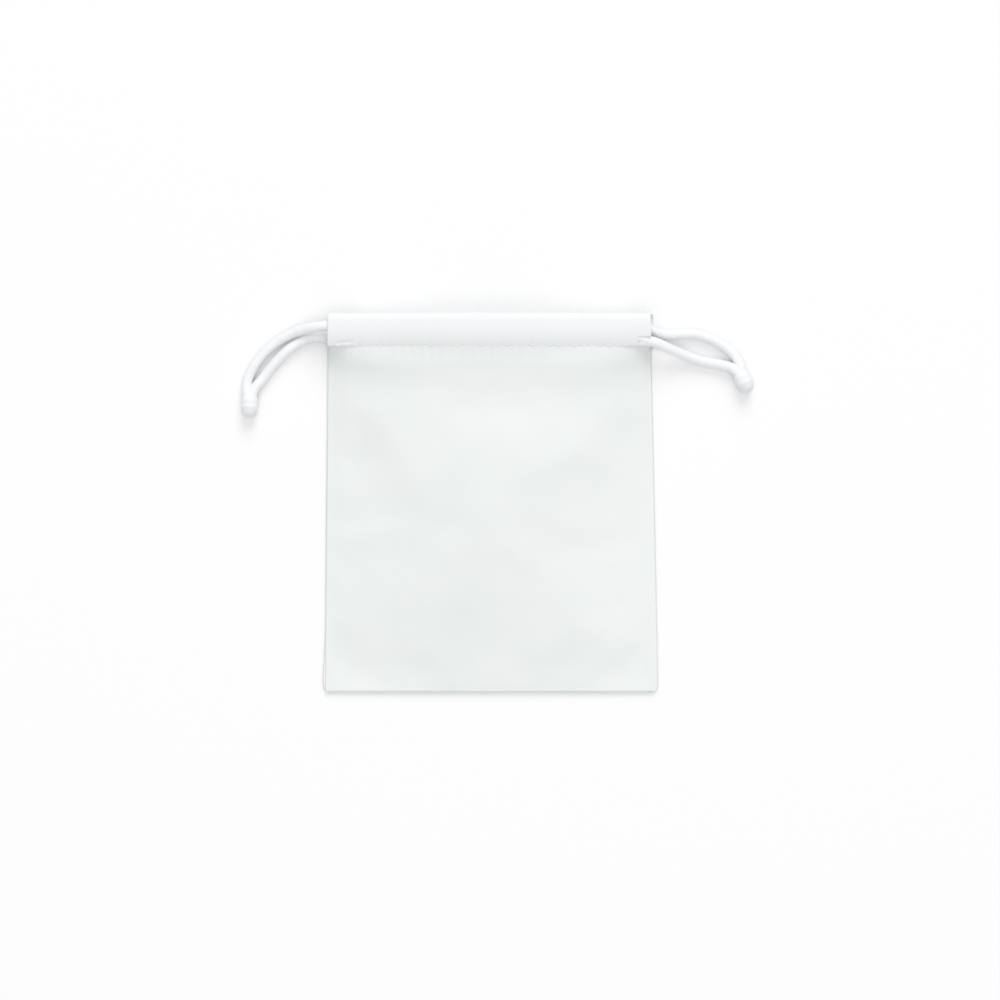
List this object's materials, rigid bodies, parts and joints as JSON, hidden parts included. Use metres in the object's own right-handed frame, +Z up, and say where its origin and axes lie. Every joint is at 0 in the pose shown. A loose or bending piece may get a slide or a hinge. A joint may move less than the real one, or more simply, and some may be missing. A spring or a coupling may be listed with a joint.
{
  "type": "drawstring gift pouch",
  "caption": "Flat cloth gift pouch with a hemmed drawstring casing along its mouth and a knotted drawcord loop out of each side.",
  "frame": {"origin": "middle of the pouch's outline without its drawcords, on the surface it lies on", "axes": "+Z up from the back panel through the front panel, +Y from the bottom seam to the mouth, +X across the pouch to the right as seen from above"},
  "size_m": [0.1589, 0.117, 0.0129],
  "materials": {
    "cloth": "matt plain-weave cloth, white with a faint cool tint",
    "hem": "the same cloth turned double, a little brighter",
    "thread": "white lockstitch thread",
    "cord": "soft white braided cord"
  },
  "bodies": {
    "pouch": {"back_panel": "cloth", "back_casing": "hem", "left_slit_facing": "hem", "right_slit_facing": "hem", "left_side_seam": "cloth", "right_side_seam": "cloth", "bottom_seam": "cloth", "back_casing_stitching": "thread", "left_slit_bartack": "thread", "right_slit_bartack": "thread", "left_cord_back_inner": "cord", "right_cord_back_inner": "cord", "left_cord_turn": "cord", "right_cord_turn": "cord"},
    "front": {"front_panel": "cloth", "front_casing": "hem", "front_casing_stitching": "thread", "left_cord_front_inner": "cord", "right_cord_front_inner": "cord"},
    "left_drawcord": {"left_cord_front_strand": "cord", "left_cord_back_strand": "cord", "left_cord_knot": "cord"},
    "right_drawcord": {"right_cord_front_strand": "cord", "right_cord_back_strand": "cord", "right_cord_knot": "cord"}
  },
  "joints": [
    {"name": "mouth_opening", "type": "hinge", "parent": "pouch", "child": "front", "pos_m": [0, -0.05715, 0.00075], "axis": [1, 0, 0], "range_deg": [0, 20]},
    {"name": "left_cord_pull", "type": "slide", "parent": "pouch", "child": "left_drawcord", "axis": [-1, 0, 0], "range_m": [0, 0.006]},
    {"name": "right_cord_pull", "type": "slide", "parent": "pouch", "child": "right_drawcord", "axis": [1, 0, 0], "range_m": [0, 0.006]}
  ]
}
